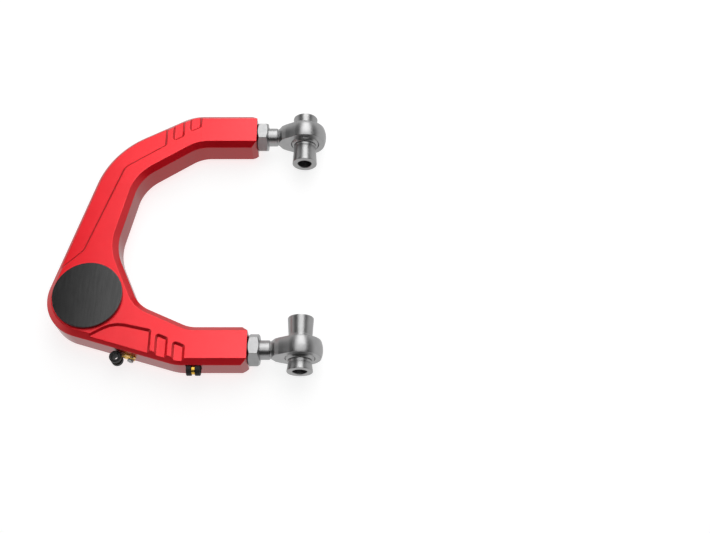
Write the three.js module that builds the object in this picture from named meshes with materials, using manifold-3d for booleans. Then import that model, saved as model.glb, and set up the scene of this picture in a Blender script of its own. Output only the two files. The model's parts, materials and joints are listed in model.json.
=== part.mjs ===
// Upper control arm of a car, machined from one aluminium plate.
//
// Two parallel legs reach to the chassis and carry adjustable rod ends. They join in a round boss
// that holds a spherical bearing (the uniball) under a round cap. Two rubber-lined line clamps are
// bolted to the front face.
//
// Millimetres. +Z is up, +X points from the wheel to the chassis, -Y is the front of the arm.
// All sizes below are given in the pivot frame: its X = 0, Z = 0 line joins the two rod-end balls,
// and its Y = 0 plane lies midway between them. The finished group is then moved so that the origin
// is the bottom centre of its bounding box.
import * as THREE from "three";
import { mergeVertices } from "three/addons/utils/BufferGeometryUtils.js";
import Module from "manifold-3d";

const wasm = await Module();
wasm.setup();

// ---------------------------------------------------------------- driving dimensions
const GAP = 0.3; // running gap between neighbouring pieces
const ROUND_STEPS = 28; // facets round a full circle
const ARC_STEP = THREE.MathUtils.degToRad(7.5); // facet angle on the arm's plan curves
const PAST = 1; // how far a hole's tool runs past the face it opens in
const SPARE = 20; // how far an open-ended tool runs on

const PIVOT_Y = 120; // half the distance between the two rod-end balls
const PLATE = { top: 16, bottom: -16, topChamfer: 5.4, lowChamfer: 3 };
const LEG = { outerY: 139.05, rearInnerY: 100.95, frontInnerY: 100.2, endX: -50.1 };
const LEG_END_BEVEL = { x: 5.5, y: 5, out: 6 }; // cut off the upright corners of a leg's end
const SHANK_BORE = { r: 9.9, depth: 46 };
const BOSS = { x: -206.8, y: -70, r: 41 };

// Outward normals of the two straight outer walls that run tangent to the boss.
const LONG_WALL_ANGLE = THREE.MathUtils.degToRad(163.7);
const FRONT_WALL_ANGLE = THREE.MathUtils.degToRad(253.7);

// Shallow recesses in the top face, open past the arm's outer edge.
const RECESS = { depth: 2.25, over: 0.5, cornerR: 3.2, farY: 156 };

// The spherical bearing in the boss, and the two flanged sleeves in its ball.
const UNIBALL = { ballR: 19.05, ballHalf: 12.7, boreR: 12.7, raceR: 22.225, raceHalf: 10.1, z: -3.6 };
const UNIBALL_SLEEVE = { boreR: 8, outR: 12.4, flangeR: 14, neckR: 11.2, neckRise: 2 };
const UNIBALL_SLEEVE_TOP = 14.3;
const UNIBALL_SLEEVE_BOTTOM = -22.225;
const BOSS_BORE = { lipR: 20, lipTop: -14, raceR: 22.5, capR: 26, capLow: 9.7 };
const SNAP_GROOVE = { r: 24.2, low: 6.6, top: 8.3 };
const SNAP_RING = { outR: 23.9, inR: 20.8, low: 6.8, top: 8.0, gapDeg: 34 };
const SNAP_RING_EAR = { r: 2.4, holeR: 0.9, inset: 0.6 };
const CAP = { r: 34, low: 16.3, top: 20, edge: 0.6, roof: 17.8 };
const CAP_PLUG = { r: 25.6, inR: 22.2, low: 10.1 };
const CAP_GROOVE = { r: 23.9, low: 12, top: 14.2 };
const O_RING = { midR: 25.0, r: 0.8 };

// Rod ends: the middle slice of a ball for a head, a waisted neck and a round shank.
const ROD_END = { headR: 22.225, halfWidth: 8.725, flatsEnd: -28.2, steps: 40 };
const SHANK = { r: 9.525, end: -87, bevel: 1 };
const NECK = [
  [-29.4, SHANK.r],
  [-28.6, 8.4],
  [-27.2, 9],
  [-24, 12.7],
  [-20, 15],
  [-15.4, 17.1],
  [-11, 19.3], // runs into the ball of the head
]; // [x, radius]
// The head's bore: a seat for the race between two lips that narrow to the mouth.
const RACE_BORE = { r: 18.7, half: 7.3, lipR: 15.4, mouthR: 14.45, mouthHalf: 9 };
const JOINT_BALL = { r: 16.65, half: 11.1, boreR: 9.525, raceR: 18.4, raceHalf: 7 };
const SLEEVE = { boreR: 7.2, outR: 9.2, collarR: 12, collar: 1.2, neckR: 11.6, endR: 12.75 };
const SLEEVE_LONG = 32.8; // from the ball's centre to the end of the inward sleeve
const SLEEVE_SHORT = 22.3;
const JAM_NUT = { acrossFlats: 28.6, from: -49.8, to: -38.8, boreR: 9.85, chamfer: 1.6, faceIn: 0.4 };

// Line clamps: a rubber cushion with two rims, and a steel band with two bolt tabs between them.
const CUSHION = { boreR: 3.2, coreR: 3.7, rimR: 5.8, length: 13.5, edge: 0.5, slit: 0.9, slitDeg: 70 };
const BAND = { inR: 4, outR: 4.6, width: 3, openFromDeg: 54, openToDeg: 86 };
const TAB = { width: 6.5, thick: 0.8, between: 1.5, end: 17.8, boltAt: 14, offWall: 0.35 };
const CLAMP_STAND = 6.3; // from the loop's axis to the face that the clamp is bolted on
const CLAMP_BOLT = { r: 1.5, acrossFlats: 5.5, head: 1.6, depth: 9 };
const CLAMP_WASHER = { r: 3.2, thick: 0.4 };
const OUTER_CLAMP = { along: -134.2, z: -1.5 };
const INNER_CLAMP = { x: -100.9, z: 4.5, stand: 2.4 }; // stand: from the loop's axis to the leg's wall
const SEAT = { loopWidth: 14.3, tabWidth: 7.3, underLoop: 0.5 };

// ---------------------------------------------------------------- materials
const finish = (color, roughness, metalness) =>
  new THREE.MeshStandardMaterial({ color, roughness, metalness });
const MATERIAL = {
  anodised: finish(0xe8202f, 0.42, 0.85),
  cap: finish(0x2b2c2e, 0.45, 0.8),
  steel: finish(0x9a9c9e, 0.32, 0.95),
  bearing: finish(0xc4c6c8, 0.15, 1.0),
  nut: finish(0xb0b2b4, 0.35, 0.9),
  zinc: finish(0xd9a83a, 0.38, 0.85),
  rubber: finish(0x151515, 0.85, 0.0),
};

// ---------------------------------------------------------------- solid helpers
function solidOf(geometry) {
  const bare = geometry.clone();
  bare.deleteAttribute("normal");
  bare.deleteAttribute("uv");
  const merged = mergeVertices(bare, 1e-4);
  return new wasm.Manifold(
    new wasm.Mesh({
      numProp: 3,
      vertProperties: merged.attributes.position.array,
      triVerts: new Uint32Array(merged.index.array),
    }),
  );
}

function geometryOf(solid) {
  const mesh = solid.getMesh();
  const geometry = new THREE.BufferGeometry();
  geometry.setAttribute("position", new THREE.BufferAttribute(mesh.vertProperties, 3));
  geometry.setIndex(new THREE.BufferAttribute(mesh.triVerts, 1));
  geometry.computeVertexNormals();
  return geometry;
}

const joined = (...geometries) =>
  geometryOf(geometries.map(solidOf).reduce((sum, next) => sum.add(next)));
const cut = (body, ...tools) =>
  geometryOf(tools.map(solidOf).reduce((rest, tool) => rest.subtract(tool), solidOf(body)));
const common = (first, second) => geometryOf(solidOf(first).intersect(solidOf(second)));

// A solid turned about Z from [radius, z] points that run up the outside and down the inside.
function turned(profile, steps = ROUND_STEPS) {
  const points = [...profile, profile[0]].map(([r, z]) => new THREE.Vector2(r, z));
  return new THREE.LatheGeometry(points, steps).rotateX(Math.PI / 2);
}

// A solid ring or disc with square edges.
const ring = (inR, outR, low, high, steps) =>
  turned([[inR, low], [outR, low], [outR, high], [inR, high]], steps);

const alongX = (geometry) => geometry.rotateY(Math.PI / 2);
const alongY = (geometry) => geometry.rotateX(-Math.PI / 2);

// Points of a plan outline whose corners [x, y, radius] are rounded by tangent arcs.
function rounded(corners) {
  const points = [];
  corners.forEach(([x, y, radius = 0], i) => {
    const corner = new THREE.Vector2(x, y);
    if (radius === 0) {
      points.push(corner);
      return;
    }
    const towards = ([nextX, nextY]) => new THREE.Vector2(nextX, nextY).sub(corner).normalize();
    const before = towards(corners.at(i - 1));
    const after = towards(corners[(i + 1) % corners.length]);
    const half = Math.acos(before.dot(after)) / 2;
    const reach = radius / Math.sin(half);
    const centre = before.clone().add(after).setLength(reach).add(corner);
    const start = before.multiplyScalar(radius / Math.tan(half)).add(corner);
    const turn = (Math.PI - 2 * half) * -Math.sign(start.clone().sub(corner).cross(after));
    const steps = Math.max(2, Math.ceil(Math.abs(turn) / ARC_STEP));
    for (let k = 0; k <= steps; k++) {
      points.push(start.clone().rotateAround(centre, (turn * k) / steps));
    }
  });
  return points;
}

// ---------------------------------------------------------------- arm body
// Corner of two walls that are both tangent to the boss.
function bossCorner() {
  const half = (FRONT_WALL_ANGLE - LONG_WALL_ANGLE) / 2;
  const reach = BOSS.r / Math.cos(half);
  const angle = LONG_WALL_ANGLE + half;
  return [BOSS.x + reach * Math.cos(angle), BOSS.y + reach * Math.sin(angle), BOSS.r];
}

function armOutline() {
  const { outerY, rearInnerY, frontInnerY, endX } = LEG;
  const pastEnd = endX + SPARE / 2;
  return rounded([
    [pastEnd, outerY],
    [-117.9, outerY, 45],
    [-201.3, 94.7, 91],
    bossCorner(),
    [-117.6, -outerY, 45],
    [pastEnd, -outerY],
    [pastEnd, -frontInnerY],
    [-107.3, -frontInnerY, 31],
    [-158.2, -77.2, 31.5],
    [-186.1, -15.9, 52],
    [-168.7, 62.8, 43.5],
    [-109.9, rearInnerY, 35],
    [pastEnd, rearInnerY],
  ]);
}

// The plate: one slab chamfered at the top edge and one at the lower edge, and what they share.
function armPlate() {
  const slab = (low, high, chamfer) =>
    new THREE.ExtrudeGeometry(new THREE.Shape(armOutline()), {
      depth: high - low - 2 * chamfer,
      bevelThickness: chamfer,
      bevelSize: chamfer,
      bevelOffset: -chamfer,
      bevelSegments: 1,
    }).translate(0, 0, low + chamfer);
  return common(
    slab(PLATE.bottom - SPARE, PLATE.top, PLATE.topChamfer),
    slab(PLATE.bottom, PLATE.top + SPARE, PLATE.lowChamfer),
  );
}

// Everything past a leg's end face, with the upright corners bevelled in plan.
function legEndTool(innerY, outerY) {
  const side = Math.sign(outerY);
  const { x, y, out } = LEG_END_BEVEL;
  const past = LEG.endX + SPARE;
  const bevelEnd = LEG.endX - x * (1 + out / y);
  const shape = new THREE.Shape([
    new THREE.Vector2(LEG.endX, innerY + side * y),
    new THREE.Vector2(LEG.endX, outerY - side * y),
    new THREE.Vector2(bevelEnd, outerY + side * out),
    new THREE.Vector2(past, outerY + side * out),
    new THREE.Vector2(past, innerY - side * out),
    new THREE.Vector2(bevelEnd, innerY - side * out),
  ]);
  const depth = 2 * SPARE;
  return new THREE.ExtrudeGeometry(shape, { depth, bevelEnabled: false }).translate(0, 0, -depth / 2);
}

// A shallow recess in the top face with 45 degree sides, open past the outer edge.
function recessTool(corners) {
  const rise = RECESS.depth + RECESS.over;
  return new THREE.ExtrudeGeometry(new THREE.Shape(rounded(corners)), {
    depth: SPARE,
    bevelThickness: rise,
    bevelSize: rise,
    bevelOffset: -RECESS.depth,
    bevelSegments: 1,
  }).translate(0, 0, PLATE.top + RECESS.over);
}

function recessTools() {
  const { cornerR, farY } = RECESS;
  const longRecess = [
    [-262.8, -67.5],
    [-215.6, -20.5, 10],
    [-183.4, 74.4, 12],
    [-143.2, 100.9, cornerR],
    [-143.2, farY],
    [-262.8, farY],
  ];
  const frontRecess = [
    [-222.8, -121],
    [-179.9, -96.2, 30],
    [-142.4, -104.5, cornerR],
    [-142.4, -farY],
    [-222.8, -farY],
  ];
  const slot = (x0, y0, x1, y1, out) => [
    [x0, y0, cornerR],
    [x1, y1, cornerR],
    [x1, out],
    [x0, out],
  ];
  return [
    longRecess,
    frontRecess,
    slot(-138, 104.8, -125.8, 111.8, farY),
    slot(-121, 116.3, -108.4, 122.8, farY),
    slot(-138.2, -107.5, -125.7, -112.9, -farY),
    slot(-121.5, -115.2, -109, -120.5, -farY),
  ].map(recessTool);
}

// The stepped bore in the boss: lip, bearing seat, snap-ring groove and the cap's seat.
function bossBoreTool() {
  const b = BOSS_BORE;
  const g = SNAP_GROOVE;
  return turned([
    [0, PLATE.bottom - PAST],
    [b.lipR, PLATE.bottom - PAST],
    [b.lipR, b.lipTop],
    [b.raceR, b.lipTop],
    [b.raceR, g.low],
    [g.r, g.low],
    [g.r, g.top],
    [b.raceR, g.top],
    [b.raceR, b.capLow],
    [b.capR, b.capLow],
    [b.capR, PLATE.top + PAST],
    [0, PLATE.top + PAST],
  ]).translate(BOSS.x, BOSS.y, 0);
}

const shankBoreTool = (y) =>
  alongX(ring(0, SHANK_BORE.r, LEG.endX - SHANK_BORE.depth, LEG.endX + PAST)).translate(0, y, 0);

// Milled seat behind the inner clamp: a pocket for its loop, and a slot for its tabs that runs
// out through the lower face.
function clampSeatTools() {
  const depth = CLAMP_STAND - INNER_CLAMP.stand;
  const pocket = (width, low, high) =>
    new THREE.BoxGeometry(width, 2 * depth, high - low).translate(
      INNER_CLAMP.x,
      -LEG.outerY,
      (high + low) / 2,
    );
  const top = PLATE.top - PLATE.topChamfer;
  const underLoop = INNER_CLAMP.z - CUSHION.rimR - SEAT.underLoop;
  return [
    pocket(SEAT.loopWidth, underLoop, top),
    pocket(SEAT.tabWidth, PLATE.bottom - PAST, underLoop + PAST),
  ];
}

function armBody() {
  return cut(
    armPlate(),
    legEndTool(LEG.rearInnerY, LEG.outerY),
    legEndTool(-LEG.frontInnerY, -LEG.outerY),
    ...recessTools(),
    bossBoreTool(),
    shankBoreTool(PIVOT_Y),
    shankBoreTool(-PIVOT_Y),
    ...clampSeatTools(),
    ...[outerClampPlace(), innerClampPlace()].map((place) => clampBoltHole().applyMatrix4(place)),
  );
}

// ---------------------------------------------------------------- uniball and cap
// A spherical zone about the origin, bored through; axis Z.
function boredBall(r, half, boreR) {
  const edge = Math.acos(half / r);
  const steps = 8;
  const arc = Array.from({ length: steps + 1 }, (_, i) => {
    const angle = Math.PI - edge - ((Math.PI - 2 * edge) * i) / steps;
    return [r * Math.sin(angle), r * Math.cos(angle)];
  });
  return turned([[boreR, -half], ...arc, [boreR, half]]);
}

// A cylinder with a spherical hollow through it; axis Z.
function bearingRace(r, half, ballR) {
  const hollowR = ballR + GAP;
  const edge = Math.asin(half / hollowR);
  const steps = 7;
  const arc = Array.from({ length: steps + 1 }, (_, i) => {
    const angle = edge - (2 * edge * i) / steps;
    return [hollowR * Math.cos(angle), hollowR * Math.sin(angle)];
  });
  return turned([[r, -half], [r, half], ...arc]);
}

function snapRing() {
  const { outR, inR, low, top, gapDeg } = SNAP_RING;
  const half = THREE.MathUtils.degToRad(gapDeg / 2);
  const flat = (outline, curveSegments) =>
    new THREE.ExtrudeGeometry(outline, { depth: top - low, bevelEnabled: false, curveSegments });
  const band = new THREE.Shape();
  band.absarc(0, 0, outR, half, 2 * Math.PI - half, false);
  band.absarc(0, 0, inR, 2 * Math.PI - half, half, true);
  const earMidR = inR - SNAP_RING_EAR.inset;
  const discsOf = (r) =>
    [half, -half].map((angle) => {
      const disc = new THREE.Shape();
      disc.absarc(earMidR * Math.cos(angle), earMidR * Math.sin(angle), r, 0, 2 * Math.PI, false);
      return flat(disc, 12);
    });
  const body = joined(flat(band, 24), ...discsOf(SNAP_RING_EAR.r));
  return cut(body, ...discsOf(SNAP_RING_EAR.holeR).map((disc) => disc.scale(1, 1, 3).translate(0, 0, -1)));
}

function capCover() {
  const plug = CAP_PLUG;
  const groove = CAP_GROOVE;
  const profile = [
    [0, CAP.roof],
    [plug.inR, CAP.roof],
    [plug.inR, plug.low],
    [plug.r, plug.low],
    [plug.r, groove.low],
    [groove.r, groove.low],
    [groove.r, groove.top],
    [plug.r, groove.top],
    [plug.r, CAP.low],
    [CAP.r, CAP.low],
    [CAP.r, CAP.top - CAP.edge],
    [CAP.r - CAP.edge, CAP.top],
    [0, CAP.top],
  ];
  return turned(profile, 2 * ROUND_STEPS);
}

function capORing() {
  const middle = (CAP_GROOVE.low + CAP_GROOVE.top) / 2;
  return new THREE.TorusGeometry(O_RING.midR, O_RING.r, 6, ROUND_STEPS).translate(0, 0, middle);
}

// Half of the uniball's flanged sleeve, drawn for the upper side of a ball centred on the origin.
function uniballSleeve(height) {
  const s = UNIBALL_SLEEVE;
  const face = UNIBALL.ballHalf + GAP;
  const edge = 0.6;
  return turned([
    [s.boreR, GAP],
    [s.outR, GAP],
    [s.outR, face],
    [s.flangeR, face],
    [s.neckR, face + s.neckRise],
    [s.neckR, height - edge],
    [s.neckR - edge, height],
    [s.boreR, height],
  ]);
}

// ---------------------------------------------------------------- rod ends
function rodEndBody() {
  const { headR, halfWidth, flatsEnd, steps } = ROD_END;
  const rootX = NECK.at(-1)[0];
  const ballFromRoot = [];
  for (let i = 1; i < steps / 2; i++) {
    const angle = (2 * Math.PI * i) / steps;
    const x = -headR * Math.cos(angle);
    if (x > rootX) ballFromRoot.push([headR * Math.sin(angle), x]);
  }
  const blank = alongX(
    turned(
      [
        [0, SHANK.end],
        [SHANK.r - SHANK.bevel, SHANK.end],
        [SHANK.r, SHANK.end + SHANK.bevel],
        ...NECK.map(([x, r]) => [r, x]),
        ...ballFromRoot,
        [0, headR],
      ],
      steps,
    ),
  );
  // The head and neck are forged flat on both sides; the shank behind them is round.
  const reach = headR + SPARE;
  const flats = new THREE.BoxGeometry(reach - flatsEnd, 2 * halfWidth, 2 * reach);
  const round = new THREE.BoxGeometry(2 * reach, 2 * reach, 2 * reach);
  const envelope = joined(
    flats.translate((reach + flatsEnd) / 2, 0, 0),
    round.translate(flatsEnd - reach, 0, 0),
  );
  const { r, half, lipR, mouthR, mouthHalf } = RACE_BORE;
  const bore = alongY(
    turned(
      [
        [0, -mouthHalf],
        [mouthR, -mouthHalf],
        [lipR, -half],
        [r, -half],
        [r, half],
        [lipR, half],
        [mouthR, mouthHalf],
        [0, mouthHalf],
      ],
      steps,
    ),
  );
  return cut(common(blank, envelope), bore);
}

// One flanged sleeve of a rod end; it runs up +Z from the ball's centre and widens to its end.
function boltSleeve(length) {
  const s = SLEEVE;
  const face = JOINT_BALL.half + GAP;
  const edge = 0.3;
  return turned([
    [s.boreR, GAP],
    [s.outR, GAP],
    [s.outR, face],
    [s.collarR, face],
    [s.collarR, face + s.collar],
    [s.neckR, face + 2 * s.collar],
    [s.endR, length - 4 * edge],
    [s.endR - edge, length],
    [s.boreR, length],
  ]);
}

function jamNut() {
  const { acrossFlats, from, to, boreR, chamfer, faceIn } = JAM_NUT;
  const cornerR = acrossFlats / Math.sqrt(3);
  const faceR = acrossFlats / 2 - faceIn;
  const past = 0.01; // the cone clears the corners between its two chamfers
  const length = to - from;
  const hex = new THREE.CylinderGeometry(cornerR, cornerR, length, 6, 1).rotateX(Math.PI / 2);
  const cone = turned([
    [0, -length / 2],
    [faceR, -length / 2],
    [cornerR + past, chamfer - length / 2],
    [cornerR + past, length / 2 - chamfer],
    [faceR, length / 2],
    [0, length / 2],
  ]);
  const nut = cut(common(hex, cone), ring(0, boreR, -length, length));
  return alongX(nut).translate((from + to) / 2, 0, 0);
}

// ---------------------------------------------------------------- line clamps
// A clamp's own frame: the loop is centred on the origin with its axis along Z, the tabs point
// along +X, and the face it is bolted on is the plane y = CLAMP_STAND.
const INNER_TAB_Y = CLAMP_STAND - TAB.offWall - TAB.thick / 2;
const OUTER_TAB_Y = INNER_TAB_Y - TAB.thick - TAB.between;
const OUTER_TAB_FACE = OUTER_TAB_Y - TAB.thick / 2;
const CLAMP_STEPS = 24;
const BOLT_STEPS = 16;

function clampCushion() {
  const { boreR, coreR, rimR, length, edge, slit, slitDeg } = CUSHION;
  const half = length / 2;
  const groove = BAND.width / 2 + GAP;
  const channel = turned(
    [
      [boreR, -half],
      [rimR - edge, -half],
      [rimR, edge - half],
      [rimR, -groove],
      [coreR, -groove],
      [coreR, groove],
      [rimR, groove],
      [rimR, half - edge],
      [rimR - edge, half],
      [boreR, half],
    ],
    CLAMP_STEPS,
  );
  const opening = new THREE.BoxGeometry(2 * rimR, slit, 2 * length)
    .translate(rimR, 0, 0)
    .rotateZ(THREE.MathUtils.degToRad(slitDeg));
  return cut(channel, opening);
}

// A flat polygon given as [x, y] points, spread by height to both sides of z = 0.
function plateOf(points, height) {
  const shape = new THREE.Shape(points.map(([x, y]) => new THREE.Vector2(x, y)));
  const plate = new THREE.ExtrudeGeometry(shape, { depth: height, bevelEnabled: false });
  return plate.translate(0, 0, -height / 2);
}

function clampBand() {
  const { inR, outR, width, openFromDeg, openToDeg } = BAND;
  const halfThick = TAB.thick / 2;
  const tabFrom = CUSHION.rimR + 2 * GAP;
  const neckTo = tabFrom + GAP;
  const neckFrom = Math.sqrt(inR ** 2 - OUTER_TAB_Y ** 2) + GAP;
  const ray = (degrees) => {
    const angle = THREE.MathUtils.degToRad(degrees);
    return [2 * outR * Math.cos(angle), 2 * outR * Math.sin(angle)];
  };
  // The loop is open between its two ends; each end runs on into a tab.
  const loop = cut(
    ring(inR, outR, -width / 2, width / 2, CLAMP_STEPS),
    plateOf([[0, 0], ray(openFromDeg), ray(openToDeg)], 2 * width),
  );
  const neckStart = -1;
  const innerNeck = [
    [neckStart, inR],
    [neckTo, INNER_TAB_Y - halfThick],
    [neckTo, INNER_TAB_Y + halfThick],
    [neckStart, outR],
  ];
  const bar = (from, to, y) => [
    [from, y - halfThick],
    [to, y - halfThick],
    [to, y + halfThick],
    [from, y + halfThick],
  ];
  const strap = joined(
    loop,
    plateOf(innerNeck, width),
    plateOf(bar(neckFrom, neckTo, OUTER_TAB_Y), width),
    plateOf(bar(tabFrom, TAB.end, INNER_TAB_Y), TAB.width),
    plateOf(bar(tabFrom, TAB.end, OUTER_TAB_Y), TAB.width),
  );
  const hole = alongY(ring(0, CLAMP_BOLT.r + GAP, -SPARE, SPARE, BOLT_STEPS)).translate(TAB.boltAt, 0, 0);
  return cut(strap, hole, ring(0, inR, -width, width, CLAMP_STEPS));
}

function clampWasher() {
  const top = OUTER_TAB_FACE - GAP;
  const washer = ring(CLAMP_BOLT.r + GAP, CLAMP_WASHER.r, top - CLAMP_WASHER.thick, top, BOLT_STEPS);
  return alongY(washer).translate(TAB.boltAt, 0, 0);
}

function clampBolt() {
  const { r, acrossFlats, head, depth } = CLAMP_BOLT;
  const headBase = OUTER_TAB_FACE - 2 * GAP - CLAMP_WASHER.thick;
  const cornerR = acrossFlats / Math.sqrt(3);
  const hex = new THREE.CylinderGeometry(cornerR, cornerR, head, 6, 1).translate(0, headBase - head / 2, 0);
  const shank = alongY(ring(0, r, headBase - head / 2, CLAMP_STAND + depth, BOLT_STEPS));
  return joined(hex, shank).translate(TAB.boltAt, 0, 0);
}

function clampBoltHole() {
  const end = CLAMP_STAND + CLAMP_BOLT.depth + PAST;
  const hole = ring(0, CLAMP_BOLT.r + GAP, CLAMP_STAND - PAST, end, BOLT_STEPS);
  return alongY(hole).translate(TAB.boltAt, 0, 0);
}

// The outer clamp stands upright on the slanting front wall, tabs towards the chassis.
function outerClampPlace() {
  const normal = new THREE.Vector3(Math.cos(FRONT_WALL_ANGLE), Math.sin(FRONT_WALL_ANGLE), 0);
  const along = new THREE.Vector3(-normal.y, normal.x, 0);
  const up = new THREE.Vector3(0, 0, 1);
  const wall = normal.x * BOSS.x + normal.y * BOSS.y + BOSS.r;
  const place = new THREE.Matrix4().makeBasis(along, normal.clone().negate(), up);
  const centre = normal.multiplyScalar(wall + CLAMP_STAND).addScaledVector(along, OUTER_CLAMP.along);
  return place.setPosition(centre.x, centre.y, OUTER_CLAMP.z);
}

// The inner clamp lies with its loop along the front leg, tabs down.
function innerClampPlace() {
  const down = new THREE.Vector3(0, 0, -1);
  const inward = new THREE.Vector3(0, 1, 0);
  const place = new THREE.Matrix4().makeBasis(down, inward, new THREE.Vector3(1, 0, 0));
  return place.setPosition(INNER_CLAMP.x, -LEG.outerY - INNER_CLAMP.stand, INNER_CLAMP.z);
}

// ---------------------------------------------------------------- assembly
const arm = new THREE.Group();

function add(parent, name, geometry, material) {
  const mesh = new THREE.Mesh(geometry, material);
  mesh.name = name;
  parent.add(mesh);
  return mesh;
}

function groupAt(x, y, z) {
  const group = new THREE.Group();
  group.position.set(x, y, z);
  arm.add(group);
  return group;
}

add(arm, "arm_body", armBody(), MATERIAL.anodised);

const boss = groupAt(BOSS.x, BOSS.y, 0);
add(boss, "uniball_snap_ring", snapRing().translate(0, 0, SNAP_RING.low), MATERIAL.steel);
add(boss, "cap_cover", capCover(), MATERIAL.cap);
add(boss, "cap_o_ring", capORing(), MATERIAL.rubber);

const uniball = groupAt(BOSS.x, BOSS.y, UNIBALL.z);
const { ballR, ballHalf, boreR, raceR, raceHalf } = UNIBALL;
add(uniball, "uniball_race", bearingRace(raceR, raceHalf, ballR), MATERIAL.bearing);
add(uniball, "uniball_ball", boredBall(ballR, ballHalf, boreR), MATERIAL.bearing);
add(uniball, "uniball_upper_spacer", uniballSleeve(UNIBALL_SLEEVE_TOP - UNIBALL.z), MATERIAL.steel);
const lowerSleeve = uniballSleeve(UNIBALL.z - UNIBALL_SLEEVE_BOTTOM).rotateX(Math.PI);
add(uniball, "uniball_lower_spacer", lowerSleeve, MATERIAL.steel);

for (const [side, sign] of [["front", -1], ["rear", 1]]) {
  const end = groupAt(0, sign * PIVOT_Y, 0);
  add(end, `${side}_rod_end_body`, rodEndBody(), MATERIAL.steel);
  const b = JOINT_BALL;
  add(end, `${side}_rod_end_race`, alongY(bearingRace(b.raceR, b.raceHalf, b.r)), MATERIAL.bearing);
  add(end, `${side}_rod_end_ball`, alongY(boredBall(b.r, b.half, b.boreR)), MATERIAL.bearing);
  const outward = boltSleeve(SLEEVE_SHORT).rotateX((-sign * Math.PI) / 2);
  const inward = boltSleeve(SLEEVE_LONG).rotateX((sign * Math.PI) / 2);
  add(end, `${side}_outer_spacer`, outward, MATERIAL.steel);
  add(end, `${side}_inner_spacer`, inward, MATERIAL.steel);
  add(end, `${side}_jam_nut`, jamNut(), MATERIAL.nut);
}

const clampPlaces = { outer_clamp: outerClampPlace(), inner_clamp: innerClampPlace() };
for (const [name, place] of Object.entries(clampPlaces)) {
  add(arm, `${name}_cushion`, clampCushion().applyMatrix4(place), MATERIAL.rubber);
  add(arm, `${name}_band`, clampBand().applyMatrix4(place), MATERIAL.zinc);
  add(arm, `${name}_washer`, clampWasher().applyMatrix4(place), MATERIAL.nut);
  add(arm, `${name}_bolt`, clampBolt().applyMatrix4(place), MATERIAL.nut);
}

// Move the arm so that the origin is the bottom centre of its bounding box.
const box = new THREE.Box3().setFromObject(arm);
const middle = box.getCenter(new THREE.Vector3());
arm.position.set(-middle.x, -middle.y, -box.min.z);

export default arm;
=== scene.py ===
"""Looks for a machined upper control arm.

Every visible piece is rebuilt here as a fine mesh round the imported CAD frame. Sizes are in
millimetres and places come from the frame. Pieces are drawn in a local frame each: a lathe turns
about local Z, and its placing matrix moves it into the row frame in metres.
"""

import json
import math

import bpy
from mathutils import Matrix, Vector


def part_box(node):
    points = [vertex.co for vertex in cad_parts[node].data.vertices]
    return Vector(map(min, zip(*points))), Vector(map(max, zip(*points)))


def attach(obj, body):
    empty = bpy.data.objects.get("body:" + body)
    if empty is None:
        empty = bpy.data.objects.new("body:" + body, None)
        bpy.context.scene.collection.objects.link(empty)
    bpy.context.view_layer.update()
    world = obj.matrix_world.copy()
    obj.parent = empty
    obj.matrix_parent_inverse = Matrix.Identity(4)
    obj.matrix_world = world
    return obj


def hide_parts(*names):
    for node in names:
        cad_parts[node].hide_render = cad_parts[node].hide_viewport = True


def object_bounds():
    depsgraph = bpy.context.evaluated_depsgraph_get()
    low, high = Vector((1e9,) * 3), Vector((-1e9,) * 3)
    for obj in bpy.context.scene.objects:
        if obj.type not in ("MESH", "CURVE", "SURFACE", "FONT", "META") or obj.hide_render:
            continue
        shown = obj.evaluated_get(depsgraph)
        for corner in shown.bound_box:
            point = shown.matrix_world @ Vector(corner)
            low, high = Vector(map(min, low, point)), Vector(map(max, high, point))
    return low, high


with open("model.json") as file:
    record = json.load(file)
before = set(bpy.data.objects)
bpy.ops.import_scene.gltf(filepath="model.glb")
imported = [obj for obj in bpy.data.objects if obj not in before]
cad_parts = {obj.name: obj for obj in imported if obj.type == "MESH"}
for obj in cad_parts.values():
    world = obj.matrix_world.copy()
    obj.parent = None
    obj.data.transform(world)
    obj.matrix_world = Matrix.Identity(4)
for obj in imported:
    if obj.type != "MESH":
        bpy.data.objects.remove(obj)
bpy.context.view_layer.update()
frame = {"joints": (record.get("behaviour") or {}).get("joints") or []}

# ---------------------------------------------------------------- driving dimensions, mm
MM = 0.001
GAP = 0.3
ROUND_STEPS = 128  # facets round a full circle
FINE_STEPS = 160  # for the rod ends
CAP_STEPS = 192
CLAMP_STEPS = 96
ROD_STEPS = 64
EAR_STEPS = 48
SMALL_STEPS = 32
ARC_STEP = math.radians(2.5)
FILLET_STEP = math.radians(18)
EDGE = 0.35  # width of the small bevel along machined edges
FORGED_EDGE = 0.4
THIN_EDGE = 0.12  # on the snap ring and the clamp bands
PAST = 1  # how far a hole's tool runs past the face it opens in
SPARE = 20  # how far an open-ended tool runs on

PLATE = {"top": 16, "bottom": -16, "top_chamfer": 5.4, "low_chamfer": 3}
LEG = {"outer_y": 139.05, "rear_inner_y": 100.95, "front_inner_y": 100.2, "end_x": -50.1}
LEG_END_BEVEL = {"x": 5.5, "y": 5, "out": 6}
LEG_OVERRUN = 12  # plate past a leg's end face, which is cut off with the end's bevels
SHANK_BORE = {"y": 120, "r": 9.9, "depth": 46}
BOSS_R = 40.99  # a hair under the CAD arc, whose facets cut inside the true circle
LONG_WALL_ANGLE = math.radians(163.7)
RECESS = {"depth": 2.25, "over": 0.5, "corner_r": 3.2, "far_y": 156}

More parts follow.
